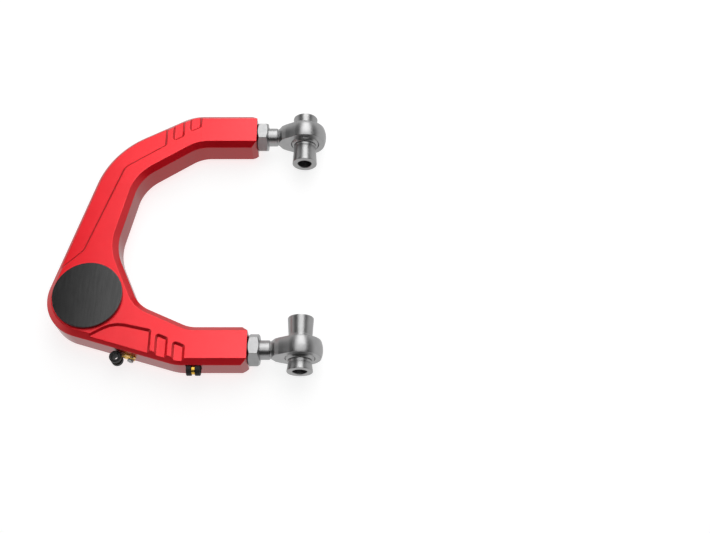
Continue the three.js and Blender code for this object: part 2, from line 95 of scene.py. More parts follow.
UNIBALL = {"ball_r": 19.05, "ball_half": 12.7, "bore_r": 12.7, "race_r": 22.225, "race_half": 10.1}
UNIBALL_SLEEVE = {"bore_r": 8, "out_r": 12.4, "flange_r": 14, "neck_r": 11.2, "neck_rise": 2}
BOSS_BORE = {"lip_r": 20, "lip_top": -14, "race_r": 22.5, "cap_r": 26, "cap_low": 9.7}
BOSS_GROOVE = {"r": 24.2, "low": 6.6, "top": 8.3}
SNAP_RING = {"out_r": 23.9, "in_r": 20.8, "gap": math.radians(34)}
SNAP_RING_EAR = {"r": 2.4, "hole_r": 0.9, "inset": 0.6}
CAP = {"roof": 17.8, "plug_r": 25.6, "plug_in_r": 22.2, "plug_low": 10.1, "low": 16.3}
CAP_GROOVE = {"r": 23.9, "low": 12, "top": 14.2}
O_RING_R = 0.8

ROD_END = {"head_r": 22.225, "half": 8.725, "flats_end": -28.2}
SHANK = {"r": 9.525, "end": -87, "bevel": 1}
NECK = [
    (-29.4, SHANK["r"]),
    (-28.6, 8.4),
    (-27.2, 9),
    (-24, 12.7),
    (-20, 15),
    (-15.4, 17.1),
    (-11, 19.3),  # runs into the ball of the head
]  # x, radius
WAIST_FILLET, NECK_FILLET = 0.6, 2.5
BALL_ARC_STEPS = 90  # facets from pole to pole of the head
RACE_BORE = {"r": 18.7, "half": 7.3, "lip_r": 15.4, "mouth_r": 14.45, "mouth_half": 9}
JOINT_BALL = {"r": 16.65, "half": 11.1, "bore_r": 9.525, "race_r": 18.4, "race_half": 7}
SLEEVE = {"bore_r": 7.2, "out_r": 9.2, "collar_r": 12, "collar": 1.2, "neck_r": 11.6, "end_r": 12.75}
JAM_NUT = {"flats": 28.6, "length": 11, "bore_r": 9.85, "chamfer": 1.6}

CUSHION = {"bore_r": 3.2, "core_r": 3.7, "rim_r": 5.8, "length": 13.5, "slit": 0.9}
CUSHION_SLIT_ANGLE = math.radians(70)
BAND = {"in_r": 4, "out_r": 4.6, "width": 3}
BAND_OPEN = (math.radians(54), math.radians(86))
TAB = {
    "width": 6.5,
    "thick": 0.8,
    "between": 1.5,
    "end": 17.8,
    "end_r": 2.4,
    "bolt_at": 14,
    "off_wall": 0.35,
}
CLAMP_STAND = 6.3  # loop centre to the face that the clamp is bolted on
BOLT = {"r": 1.5, "flats": 5.5, "head": 1.6, "depth": 9}
WASHER = {"r": 3.2, "thick": 0.4}
INNER_SEAT = {"loop_width": 14.3, "tab_width": 7.3, "depth": 3.9, "under_loop": 0.5}


# ---------------------------------------------------------------- places, row frame
def centre(node):
    low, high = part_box(node)
    return (low + high) / 2


FRONT = centre("front_rod_end_race")
REAR = centre("rear_rod_end_race")
PIVOT = (FRONT + REAR) / 2
UNIBALL_AT = centre("uniball_race")
BOSS_AT = Vector((UNIBALL_AT.x, UNIBALL_AT.y, PIVOT.z))
BOSS = (BOSS_AT - PIVOT) / MM
JOINTS = {joint["name"]: joint for joint in frame["joints"]}
FRONT_WALL = Vector(JOINTS["outer_clamp_aim"]["axis"]).normalized()
LONG_WALL = Vector((math.cos(LONG_WALL_ANGLE), math.sin(LONG_WALL_ANGLE), 0))

TURN_TO_X = Matrix.Rotation(math.pi / 2, 4, "Y")
TURN_TO_Y = Matrix.Rotation(-math.pi / 2, 4, "X")
TURN_TO_MINUS_Y = Matrix.Rotation(math.pi / 2, 4, "X")
FLIP = Matrix.Rotation(math.pi, 4, "X")


def placed(at, turn=Matrix.Identity(4)):
    """Local millimetres to the row frame in metres."""
    return Matrix.Translation(at) @ turn @ Matrix.Scale(MM, 4)


# ---------------------------------------------------------------- node materials
class Nodes:
    """A material whose Principled shader is fed by a few procedural nodes."""

    def __init__(self, name, **sockets):
        self.material = bpy.data.materials.new(name)
        self.material.use_nodes = True
        self.tree = self.material.node_tree
        self.shader = self.tree.nodes["Principled BSDF"]
        for socket, value in sockets.items():
            self.shader.inputs[socket.replace("_", " ")].default_value = value
        coordinates = self.tree.nodes.new("ShaderNodeTexCoord")
        self.place = coordinates.outputs["Object"]
        self.normal = coordinates.outputs["Normal"]

    def link(self, source, target):
        self.tree.links.new(source, target)

    def stretched(self, scale):
        mapping = self.tree.nodes.new("ShaderNodeMapping")
        mapping.inputs["Scale"].default_value = scale
        self.link(self.place, mapping.inputs["Vector"])
        return mapping.outputs["Vector"]

    def noise(self, size, detail=2.0, vector=None, roughness=0.5):
        """Noise whose features are about size metres across."""
        node = self.tree.nodes.new("ShaderNodeTexNoise")
        node.inputs["Scale"].default_value = 1 / size
        node.inputs["Detail"].default_value = detail
        node.inputs["Roughness"].default_value = roughness
        self.link(vector or self.place, node.inputs["Vector"])
        return node.outputs["Fac"]

    def ramp(self, source, stops):
        node = self.tree.nodes.new("ShaderNodeValToRGB")
        elements = node.color_ramp.elements
        while len(elements) < len(stops):
            elements.new(0.5)
        for element, (position, colour) in zip(elements, stops):
            element.position = position
            element.color = (*colour, 1)
        self.link(source, node.inputs["Fac"])
        return node.outputs["Color"]

    def span(self, source, low, high):
        node = self.tree.nodes.new("ShaderNodeMapRange")
        node.inputs["To Min"].default_value = low
        node.inputs["To Max"].default_value = high
        self.link(source, node.inputs["Value"])
        return node.outputs["Result"]

    def colour(self, source, stops, shade=None):
        """Base colour from a ramp, darkened by the shade factor when one is given."""
        colour = self.ramp(source, stops)
        if shade is not None:
            scaled = self.tree.nodes.new("ShaderNodeVectorMath")
            scaled.operation = "SCALE"
            self.link(colour, scaled.inputs[0])
            self.link(shade, scaled.inputs["Scale"])
            colour = scaled.outputs["Vector"]
        self.link(colour, self.shader.inputs["Base Color"])

    def by_slope(self, upright, level):
        """A factor that runs from upright walls to level faces."""
        split = self.tree.nodes.new("ShaderNodeSeparateXYZ")
        self.link(self.normal, split.inputs["Vector"])
        steep = self.tree.nodes.new("ShaderNodeMath")
        steep.operation = "ABSOLUTE"
        self.link(split.outputs["Z"], steep.inputs[0])
        return self.span(steep.outputs["Value"], upright, level)

    def roughness(self, source, low, high):
        self.link(self.span(source, low, high), self.shader.inputs["Roughness"])

    def bump(self, *layers):
        """Layers of (height source, depth in metres), one on top of the other."""
        normal = None
        for source, depth in layers:
            node = self.tree.nodes.new("ShaderNodeBump")
            node.inputs["Distance"].default_value = depth
            node.inputs["Strength"].default_value = 1.0
            self.link(source, node.inputs["Height"])
            if normal is not None:
                self.link(normal, node.inputs["Normal"])
            normal = node.outputs["Normal"]
        self.link(normal, self.shader.inputs["Normal"])


def grey(value):
    return (value, value, value)


def anodised_finish():
    """Bead-blasted aluminium under clear red dye: a metal with a hard, glossier skin.

    The upright walls carry painted shade: their red is darkened against the level top, where the
    light falls.
    """
    n = Nodes("anodised", Metallic=1.0, Coat_Weight=1.0, Coat_Roughness=0.2, Coat_IOR=1.5)
    n.shader.inputs["Specular Tint"].default_value = (0.35, 0.1, 0.1, 1)
    cloud = n.noise(0.035, 3)
    red = [(0.3, (0.93, 0.008, 0.02)), (0.7, (1.0, 0.012, 0.026))]
    # painted shade: the base colour falls to 0.45 on upright walls and stays full on level faces
    n.colour(cloud, red, n.by_slope(0.45, 1.0))
    n.roughness(n.noise(0.004, 3), 0.48, 0.54)
    n.bump((n.noise(0.0004, 2), 0.000006), (n.noise(0.0016, 2), 0.000006))
    return n.material


def cap_finish():
    """Black anodised disc with a straight brushed grain along Y."""
    n = Nodes("cap", Metallic=1.0)
    grain = n.noise(0.0007, 4, n.stretched((1, 0.03, 1)), 0.65)
    fine = n.noise(0.0003, 2, n.stretched((1, 0.02, 1)))
    n.colour(grain, [(0.35, grey(0.062)), (0.65, grey(0.092))])
    n.roughness(fine, 0.15, 0.23)
    n.bump((grain, 0.000008), (fine, 0.000004))
    return n.material


def turned_finish(name, axis, base, rough, groove):
    """Lathe-turned steel: fine rings that follow each other along the turning axis."""
    n = Nodes(name, Metallic=1.0)
    along = n.stretched([1 if i == axis else 0.02 for i in range(3)])
    rings = n.noise(0.0005, 3, along)
    n.colour(n.noise(0.006, 3), [(0.3, grey(base * 0.94)), (0.7, grey(base * 1.06))])
    n.roughness(rings, rough - 0.05, rough + 0.06)
    n.bump((rings, groove), (n.noise(0.0007, 2), groove / 3))
    return n.material


def forged_finish():
    """Rod-end body: satin, finely tumbled steel with faint cloudy tone."""
    n = Nodes("steel_forged", Metallic=1.0)
    n.colour(n.noise(0.008, 4), [(0.3, (0.38, 0.38, 0.383)), (0.7, (0.42, 0.42, 0.42))])
    n.roughness(n.noise(0.0025, 3), 0.27, 0.36)
    n.bump((n.noise(0.0003, 2), 0.000006), (n.noise(0.002, 3), 0.00001))
    return n.material


def plated_finish():
    """Bright zinc on the nuts, bolts and washers."""
    n = Nodes("nut", Metallic=1.0)
    n.colour(n.noise(0.004, 4), [(0.3, (0.34, 0.343, 0.346)), (0.7, (0.39, 0.39, 0.39))])
    n.roughness(n.noise(0.0015, 3), 0.26, 0.36)
    n.bump((n.noise(0.0004, 2), 0.000006), (n.noise(0.0015, 2), 0.000006))
    return n.material


def zinc_finish():
    """Yellow chromate over zinc: gold with drifting olive and rose tints."""
    n = Nodes("zinc", Metallic=1.0)
    tint = [
        (0.3, (0.62, 0.4, 0.06)),
        (0.45, (0.85, 0.5, 0.07)),
        (0.6, (0.9, 0.56, 0.1)),
        (0.75, (0.78, 0.42, 0.13)),
    ]
    n.colour(n.noise(0.004, 4), tint)
    n.roughness(n.noise(0.001, 3), 0.24, 0.36)
    n.bump((n.noise(0.0004, 2), 0.000005))
    return n.material


def rubber_finish():
    n = Nodes("rubber", Specular_IOR_Level=0.35)
    n.colour(n.noise(0.002, 4), [(0.3, grey(0.007)), (0.7, grey(0.014))])
    n.roughness(n.noise(0.0006, 3), 0.45, 0.62)
    n.bump((n.noise(0.0003, 3), 0.00002), (n.noise(0.002, 2), 0.00003))
    return n.material


ALONG_Y, ALONG_Z = 1, 2
FINISH = {
    "anodised": anodised_finish(),
    "cap": cap_finish(),
    "steel": forged_finish(),
    "sleeve": turned_finish("steel_turned", ALONG_Y, 0.38, 0.32, 0.00001),
    "boss_sleeve": turned_finish("steel_turned_upright", ALONG_Z, 0.37, 0.25, 0.000012),
    "ball": turned_finish("bearing_across", ALONG_Y, 0.4, 0.3, 0.000003),
    "boss_ball": turned_finish("bearing_upright", ALONG_Z, 0.35, 0.14, 0.000003),
    "nut": plated_finish(),
    "zinc": zinc_finish(),
    "rubber": rubber_finish(),
}


# ---------------------------------------------------------------- outlines and meshes
def filleted(corners, step=FILLET_STEP):
    """Points of a closed outline whose corners (a, b, radius) are rounded by tangent arcs."""
    points = []
    for i, (a, b, *rest) in enumerate(corners):
        corner = Vector((a, b))
        radius = rest[0] if rest else 0
        if radius == 0:
            points.append(corner)
            continue
        before = (Vector(corners[i - 1][:2]) - corner).normalized()
        after = (Vector(corners[(i + 1) % len(corners)][:2]) - corner).normalized()
        half = before.angle(after) / 2
        middle = corner + (before + after).normalized() * radius / math.sin(half)
        start = corner + before * radius / math.tan(half) - middle
        turn = math.pi - 2 * half
        if before.x * after.y - before.y * after.x > 0:
            turn = -turn
        steps = max(2, math.ceil(abs(turn) / step))
        points += [middle + Matrix.Rotation(turn * k / steps, 2) @ start for k in range(steps + 1)]
    return points


def new_object(name, vertices, faces):
    mesh = bpy.data.meshes.new(name)
    mesh.from_pydata([tuple(v) for v in vertices], [], faces)
    mesh.validate()
    obj = bpy.data.objects.new(name, mesh)
    bpy.context.scene.collection.objects.link(obj)
    return obj


def lathe(profile, steps=ROUND_STEPS):
    """A solid about Z. The profile holds (radius, z) points, in order round the section's edge."""
    vertices, rings = [], []
    for r, z in profile:
        if r < 1e-6:
            rings.append([len(vertices)] * steps)
            vertices.append((0, 0, z))
            continue
        rings.append(range(len(vertices), len(vertices) + steps))
        for k in range(steps):
            angle = 2 * math.pi * k / steps
            vertices.append((r * math.cos(angle), r * math.sin(angle), z))
    faces = []
    for lower, upper in zip(rings, rings[1:] + rings[:1]):
        for k in range(steps):
            on = (k + 1) % steps
            quad = [lower[k], lower[on], upper[on], upper[k]]
            face = [v for i, v in enumerate(quad) if v != quad[i - 1]]
            if len(face) > 2:
                faces.append(face)
    return new_object("lathe", vertices, faces)


def offset(points, distance):
    """The closed outline moved outwards by distance; the outline runs anticlockwise."""
    moved = []
    for i, here in enumerate(points):
        before = (here - points[i - 1]).normalized()
        after = (points[(i + 1) % len(points)] - here).normalized()
        normal = Vector((before.y + after.y, -before.x - after.x)).normalized()
        reach = distance / max(0.3, normal.dot(Vector((before.y, -before.x))))
        moved.append(here + normal * reach)
    return moved


def anticlockwise(points):
    area = sum(a.x * b.y - b.x * a.y for a, b in zip(points, points[1:] + points[:1]))
    return points if area > 0 else points[::-1]


def layered(layers):
    """A solid through equal-sized outlines, given from low to high as (points, z)."""
    count = len(layers[0][0])
    vertices = [(p.x, p.y, z) for points, z in layers for p in points]
    faces = [list(range(count))[::-1], [len(vertices) - count + k for k in range(count)]]
    for level in range(len(layers) - 1):
        low = level * count
        for k in range(count):
            on = (k + 1) % count
            faces.append([low + k, low + on, low + count + on, low + count + k])
    return new_object("layered", vertices, faces)


def slab(outline, low, high):
    points = anticlockwise([Vector(p) for p in outline])
    return layered([(points, low), (points, high)])


def block(low, high):
    (x0, y0, z0), (x1, y1, z1) = low, high
    return slab([(x0, y0), (x1, y0), (x1, y1), (x0, y1)], z0, z1)


def moved(obj, matrix):
    obj.data.transform(matrix)
    return obj


def settle(obj):
    """Replaces the mesh with what its modifiers make of it."""
    bpy.context.view_layer.update()
    made = bpy.data.meshes.new_from_object(obj.evaluated_get(bpy.context.evaluated_depsgraph_get()))
    obj.modifiers.clear()
    old = obj.data
    obj.data = made
    bpy.data.meshes.remove(old)
    return obj


def combined(obj, tools, operation):
    for tool in tools:
        change = obj.modifiers.new("change", "BOOLEAN")
        change.operation = operation
        change.solver = "EXACT"
        change.object = tool
    settle(obj)
    for tool in tools:
        bpy.data.objects.remove(tool)
    return obj


def cut(obj, *tools):
    return combined(obj, tools, "DIFFERENCE")


def join(obj, *others):
    return combined(obj, others, "UNION")


def bevelled(obj, width, segments=2, angle=25):
    bevel = obj.modifiers.new("edge", "BEVEL")
    bevel.width = width
    bevel.segments = segments
    bevel.limit_method = "ANGLE"
    bevel.angle_limit = math.radians(angle)
    bevel.use_clamp_overlap = False
    bevel.miter_outer = "MITER_ARC"
    return settle(obj)


def piece(name, obj, matrix, body, finish, sharp=50):
    """Names the mesh, puts it in the row frame, shades it, ties it to its body and hides its CAD
    node.
    """
    obj.name = obj.data.name = name + "_fine"
    obj.data.transform(matrix)
    obj.data.polygons.foreach_set("use_smooth", [True] * len(obj.data.polygons))
    obj.data.set_sharp_from_angle(angle=math.radians(sharp))
    weighted = obj.modifiers.new("weighted", "WEIGHTED_NORMAL")
    weighted.keep_sharp = True
    weighted.weight = 80
    settle(obj)
    obj.data.materials.clear()
    obj.data.materials.append(FINISH[finish])
    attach(obj, body)
    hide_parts(name)
    return obj


# ---------------------------------------------------------------- arm body
def boss_corner():
    """Corner of the two outer walls that are both tangent to the boss."""
    reach = BOSS_R / (1 + LONG_WALL.dot(FRONT_WALL))
    corner = BOSS + (LONG_WALL + FRONT_WALL) * reach
    return (corner.x, corner.y, BOSS_R)


def arm_outline():
    outer, past_end = LEG["outer_y"], LEG["end_x"] + LEG_OVERRUN
    rear_inner, front_inner = LEG["rear_inner_y"], LEG["front_inner_y"]
    corners = [
        (past_end, outer),
        (-117.9, outer, 45),
        (-201.3, 94.7, 91),
        boss_corner(),
        (-117.6, -outer, 45),
        (past_end, -outer),
        (past_end, -front_inner),
        (-107.3, -front_inner, 31),
        (-158.2, -77.2, 31.5),
        (-186.1, -15.9, 52),
        (-168.7, 62.8, 43.5),
        (-109.9, rear_inner, 35),
        (past_end, rear_inner),
    ]
    return anticlockwise(filleted(corners, ARC_STEP))


def arm_plate():
    outline = arm_outline()
    low, high = PLATE["bottom"], PLATE["top"]
    low_c, top_c = PLATE["low_chamfer"], PLATE["top_chamfer"]
    return layered(
        [
            (offset(outline, -low_c), low),
            (outline, low + low_c),
            (outline, high - top_c),
            (offset(outline, -top_c), high),
        ]
    )


def leg_end_tool(inner_y, outer_y):
    """Everything past a leg's end face, with the upright corners bevelled in plan."""
    side = math.copysign(1, outer_y)
    bevel = LEG_END_BEVEL
    end, out = LEG["end_x"], bevel["out"]
    back = end - bevel["x"] * (1 + out / bevel["y"])
    far = end + SPARE
    outline = [
        (end, inner_y + side * bevel["y"]),
        (end, outer_y - side * bevel["y"]),
        (back, outer_y + side * out),
        (far, outer_y + side * out),
        (far, inner_y - side * out),
        (back, inner_y - side * out),
    ]
    return slab(outline, -SPARE, SPARE)


def recess_tool(corners):
    """A shallow recess in the top face with 45 degree sides, open past the outer edge."""
    outline = anticlockwise(filleted(corners))
    depth, over, top = RECESS["depth"], RECESS["over"], PLATE["top"]
    return layered([(offset(outline, -depth), top - depth), (offset(outline, over), top + over)])


def recess_tools():
    r, far = RECESS["corner_r"], RECESS["far_y"]
    long_recess = [(-262.8, -67.5), (-215.6, -20.5, 10), (-183.4, 74.4, 12), (-143.2, 100.9, r)]
    long_recess += [(-143.2, far), (-262.8, far)]
    front_recess = [(-222.8, -121), (-179.9, -96.2, 30), (-142.4, -104.5, r)]
    front_recess += [(-142.4, -far), (-222.8, -far)]
    slots = [
        (-138, 104.8, -125.8, 111.8, far),
        (-121, 116.3, -108.4, 122.8, far),
        (-138.2, -107.5, -125.7, -112.9, -far),
        (-121.5, -115.2, -109, -120.5, -far),
    ]
    open_slots = [[(x0, y0, r), (x1, y1, r), (x1, out), (x0, out)] for x0, y0, x1, y1, out in slots]
    return [recess_tool(corners) for corners in [long_recess, front_recess, *open_slots]]


def boss_bore_tool():
    b, g = BOSS_BORE, BOSS_GROOVE
    profile = [
        (0, PLATE["bottom"] - PAST),
        (b["lip_r"], PLATE["bottom"] - PAST),
        (b["lip_r"], b["lip_top"]),
        (b["race_r"], b["lip_top"]),
        (b["race_r"], g["low"]),
        (g["r"], g["low"]),
        (g["r"], g["top"]),
        (b["race_r"], g["top"]),
        (b["race_r"], b["cap_low"]),
        (b["cap_r"], b["cap_low"]),
        (b["cap_r"], PLATE["top"] + PAST),
        (0, PLATE["top"] + PAST),
    ]
    return moved(lathe(profile), Matrix.Translation((BOSS.x, BOSS.y, 0)))


def rod(r, low, high, steps=ROD_STEPS):
    return lathe([(0, low), (r, low), (r, high), (0, high)], steps)


def shank_bore_tool(y):
    tool = rod(SHANK_BORE["r"], LEG["end_x"] - SHANK_BORE["depth"], LEG["end_x"] + 2 * PAST)
    return moved(tool, Matrix.Translation((0, y, 0)) @ TURN_TO_X)


def clamp_seat_tools():
    """A pocket behind the inner clamp's loop, and a slot for its tabs out through the lower face."""
    seat, wall, x = INNER_SEAT, -LEG["outer_y"], INNER_CLAMP.translation.x
    top = PLATE["top"] - PLATE["top_chamfer"]
    under_loop = INNER_CLAMP.translation.z - CUSHION["rim_r"] - seat["under_loop"]

    def pocket(width, low, high):
        half, deep = width / 2, seat["depth"]
        return block((x - half, wall - deep, low), (x + half, wall + deep, high))

    loop_pocket = pocket(seat["loop_width"], under_loop, top)
    return [loop_pocket, pocket(seat["tab_width"], PLATE["bottom"] - 2 * PAST, top - PAST)]


def bolt_hole_tool(place):
    low, high = CLAMP_STAND - PAST / 2, CLAMP_STAND + BOLT["depth"] + PAST
    tool = rod(BOLT["r"] + GAP, low, high, SMALL_STEPS)
    return moved(tool, place @ Matrix.Translation((TAB["bolt_at"], 0, 0)) @ TURN_TO_Y)


def basis(x, y, z, at):
    matrix = Matrix((x, y, z)).transposed().to_4x4()
    matrix.translation = at
    return matrix


# Clamp frames, millimetres from the pivot point: loop axis along Z, tabs along X, wall at +Y.
ALONG_WALL = Vector((-FRONT_WALL.y, FRONT_WALL.x, 0))
OUTER_CLAMP = basis(
    ALONG_WALL, -FRONT_WALL, Vector((0, 0, 1)), (centre("outer_clamp_cushion") - PIVOT) / MM
)
INNER_CLAMP = basis(
    Vector((0, 0, -1)),
    Vector((0, 1, 0)),
    Vector((1, 0, 0)),
    (centre("inner_clamp_cushion") - PIVOT) / MM,
)
CLAMPS = {"outer_clamp": OUTER_CLAMP, "inner_clamp": INNER_CLAMP}


def arm_body():
    outer = LEG["outer_y"]
    tools = [leg_end_tool(LEG["rear_inner_y"], outer), leg_end_tool(-LEG["front_inner_y"], -outer)]
    tools += recess_tools()
    tools += [boss_bore_tool(), shank_bore_tool(SHANK_BORE["y"]), shank_bore_tool(-SHANK_BORE["y"])]
    tools += [*clamp_seat_tools(), *[bolt_hole_tool(place) for place in CLAMPS.values()]]
    return bevelled(cut(arm_plate(), *tools), EDGE)


# ---------------------------------------------------------------- bearings and cap
def bored_ball(r, half, bore_r):
    edge = math.acos(half / r)
    count = SMALL_STEPS
    arc = []
    for i in range(count + 1):
        angle = math.pi - edge - (math.pi - 2 * edge) * i / count
        arc.append((r * math.sin(angle), r * math.cos(angle)))
    ease = 0.5
    lower = [(bore_r, ease - half), (bore_r + ease, -half)]
    upper = [(bore_r + ease, half), (bore_r, half - ease)]
    return lathe([*lower, *arc, *upper])


def bearing_race(r, half, ball_r):
    hollow_r = ball_r + GAP
    edge = math.asin(half / hollow_r)
    count = 24
    ease = 0.4
    points = [(r - ease, -half), (r, ease - half), (r, half - ease), (r - ease, half)]
    for i in range(count + 1):
        angle = edge - 2 * edge * i / count
        points.append((hollow_r * math.cos(angle), hollow_r * math.sin(angle)))
    return lathe(points)


def snap_ring(low, high):
    s = SNAP_RING
    ring = lathe([(s["in_r"], low), (s["out_r"], low), (s["out_r"], high), (s["in_r"], high)])
    half = s["gap"] / 2
    reach = 2 * SPARE
    wedge = [(0, 0), (reach, -reach * math.tan(half)), (reach, reach * math.tan(half))]
    cut(ring, slab(wedge, low - PAST, high + PAST))
    ear = SNAP_RING_EAR
    ear_middle = s["in_r"] - ear["inset"]
    for angle in (half, -half):
        at = Matrix.Translation((ear_middle * math.cos(angle), ear_middle * math.sin(angle), 0))
        join(ring, moved(rod(ear["r"], low, high, EAR_STEPS), at))
        cut(ring, moved(rod(ear["hole_r"], low - PAST, high + PAST, SMALL_STEPS), at))
    return bevelled(ring, THIN_EDGE)


def cap_cover(r, top):
    c, g = CAP, CAP_GROOVE
    corners = [
        (0, c["roof"]),
        (c["plug_in_r"], c["roof"], 0.5),
        (c["plug_in_r"], c["plug_low"], 0.3),
        (c["plug_r"], c["plug_low"], 0.6),
        (c["plug_r"], g["low"], 0.2),
        (g["r"], g["low"]),
        (g["r"], g["top"]),
        (c["plug_r"], g["top"], 0.2),
        (c["plug_r"], c["low"]),
        (r, c["low"], 0.35),
        (r, top, 0.55),
        (0, top),
    ]
    return lathe(filleted(corners), CAP_STEPS)


def o_ring(mid_r, z):
    count = 20
    turns = [2 * math.pi * k / count for k in range(count)]
    return lathe([(mid_r + O_RING_R * math.cos(t), z + O_RING_R * math.sin(t)) for t in turns])


def uniball_sleeve(height):
    s = UNIBALL_SLEEVE
    face = UNIBALL["ball_half"] + GAP
    corners = [
        (s["bore_r"], GAP, 0.3),
        (s["out_r"], GAP, 0.5),
        (s["out_r"], face),
        (s["flange_r"], face, 0.3),
        (s["neck_r"], face + s["neck_rise"], 0.5),
        (s["neck_r"], height, 0.6),
        (s["bore_r"], height, 0.6),
    ]
    return lathe(filleted(corners))


# ---------------------------------------------------------------- rod ends
def rod_end_body():
    """The neck and the ball-shaped head turned as one about X, then forged flat on both sides."""
    r, half = ROD_END["head_r"], ROD_END["half"]
    root_x, root_r = NECK[-1]
    profile = [(0, SHANK["end"]), (SHANK["r"], SHANK["end"], SHANK["bevel"])]
    profile += [(neck_r, x, WAIST_FILLET) for x, neck_r in NECK[:2]]
    profile += [(neck_r, x, NECK_FILLET) for x, neck_r in NECK[2:-1]]
    profile.append((root_r, root_x))
    turns = [math.pi * k / BALL_ARC_STEPS for k in range(BALL_ARC_STEPS)]
    profile += [(r * math.sin(t), -r * math.cos(t)) for t in turns if -r * math.cos(t) > root_x]
    profile.append((0, r))
    body = moved(lathe(filleted(profile), FINE_STEPS), TURN_TO_X)
    reach = 3 * SPARE
    flats_from = ROD_END["flats_end"]
    for side in (-1, 1):
        far = sorted((side * half, side * reach))
        cut(body, block((flats_from, far[0], -reach), (reach, far[1], reach)))
    b = RACE_BORE
    bore = [(0, -b["mouth_half"]), (b["mouth_r"], -b["mouth_half"]), (b["lip_r"], -b["half"])]
    bore += [(b["r"], -b["half"]), (b["r"], b["half"]), (b["lip_r"], b["half"])]
    bore += [(b["mouth_r"], b["mouth_half"]), (0, b["mouth_half"])]
    cut(body, moved(lathe(bore, FINE_STEPS), TURN_TO_Y))
    return bevelled(body, FORGED_EDGE, segments=3, angle=22)


def bolt_sleeve(length):
    s = SLEEVE
    face = JOINT_BALL["half"] + GAP
    corners = [
        (s["bore_r"], GAP, 0.3),
        (s["out_r"], GAP, 0.4),
        (s["out_r"], face),
        (s["collar_r"], face, 0.3),
        (s["collar_r"], face + s["collar"], 0.4),
        (s["neck_r"], face + 2 * s["collar"], 1.0),
        (s["end_r"], length - 1.2, 0.8),
        (s["end_r"] - 0.1, length, 0.4),
        (s["bore_r"] + 0.6, length, 0.2),
        (s["bore_r"], length - 0.6, 0.2),
    ]
    return lathe(filleted(corners))


def ringed(rings):
    """A solid through closed rings of 3-D points; the last ring joins the first."""
    count = len(rings[0])
    vertices = [point for ring in rings for point in ring]
    faces = []
    for level in range(len(rings)):
        low, high = level * count, (level + 1) % len(rings) * count
        for k in range(count):
            on = (k + 1) % count
            faces.append([low + k, low + on, high + on, high + k])
    return new_object("ringed", vertices, faces)


def hexagon(flats, length, chamfer, bore_r, ease=0.4, soft=0.5):
    """A hexagonal prism about Z, corners on X, with cone-turned ends and a countersunk bore."""
    corner_r = flats / math.sqrt(3)
    turns = [math.pi * k / 3 for k in range(6)]
    corners = [(corner_r * math.cos(t), corner_r * math.sin(t), soft) for t in turns]
    bends = filleted(corners)
    outline = []
    for here, on in zip(bends, bends[1:] + bends[:1]):
        steps = max(1, round((on - here).length / (flats / 24)))
        outline += [here.lerp(on, k / steps) for k in range(steps)]
    end_r = flats / 2 - ease
    slope = chamfer / (corner_r - end_r)
    half, small, mouth = length / 2, 0.12 * chamfer, 0.12 * bore_r

    def ring(side, shrink, rise):
        points = []
        for p in outline:
            z = (p.length - end_r) * slope + rise
            points.append((p.x * (1 - shrink / p.length), p.y * (1 - shrink / p.length), z))
        return [(x, y, side * (half - z)) for x, y, z in points]

    def circle(r, z):
        return [(*(p.normalized() * r), z) for p in outline]

    def end(side):
        """Rings from the outer wall to the bore, at one end of the prism."""
        return [
            ring(side, 0, 2 * small),
            ring(side, 0, small),
            ring(side, small, 0),
            circle(end_r + small, side * (half - small * slope)),
            circle(end_r - small, side * half),
            circle(bore_r + mouth, side * half),
            circle(bore_r, side * (half - mouth)),
        ]

    return ringed([*end(-1)[::-1], *end(1)])


def jam_nut():
    n = JAM_NUT
    return hexagon(n["flats"], n["length"], n["chamfer"], n["bore_r"])


# ---------------------------------------------------------------- line clamps
INNER_TAB_Y = CLAMP_STAND - TAB["off_wall"] - TAB["thick"] / 2
OUTER_TAB_Y = INNER_TAB_Y - TAB["thick"] - TAB["between"]
OUTER_TAB_FACE = OUTER_TAB_Y - TAB["thick"] / 2
AT_BOLT = Matrix.Translation((TAB["bolt_at"], 0, 0)) @ TURN_TO_Y


def clamp_cushion():
    c = CUSHION
    half = c["length"] / 2
    groove = BAND["width"] / 2 + GAP
    corners = [
        (c["bore_r"], -half, 0.3),
        (c["rim_r"], -half, 0.8),
        (c["rim_r"], -groove, 0.35),
        (c["core_r"], -groove),
        (c["core_r"], groove),
        (c["rim_r"], groove, 0.35),
        (c["rim_r"], half, 0.8),
        (c["bore_r"], half, 0.3),
    ]
    cushion = lathe(filleted(corners), CLAMP_STEPS)
    slit = block((0, -c["slit"] / 2, -2 * half), (2 * c["rim_r"], c["slit"] / 2, 2 * half))
    return cut(cushion, moved(slit, Matrix.Rotation(CUSHION_SLIT_ANGLE, 4, "Z")))


def tab_plate(y, start):
    """A flat tab along X, standing on edge, with rounded far corners."""
    half, end, thick, end_r = TAB["width"] / 2, TAB["end"], TAB["thick"], TAB["end_r"]
    corners = [(start, -half), (end, -half, end_r), (end, half, end_r), (start, half)]
    tab = slab(filleted(corners), -thick / 2, thick / 2)
    return moved(tab, Matrix.Translation((0, y, 0)) @ TURN_TO_MINUS_Y)


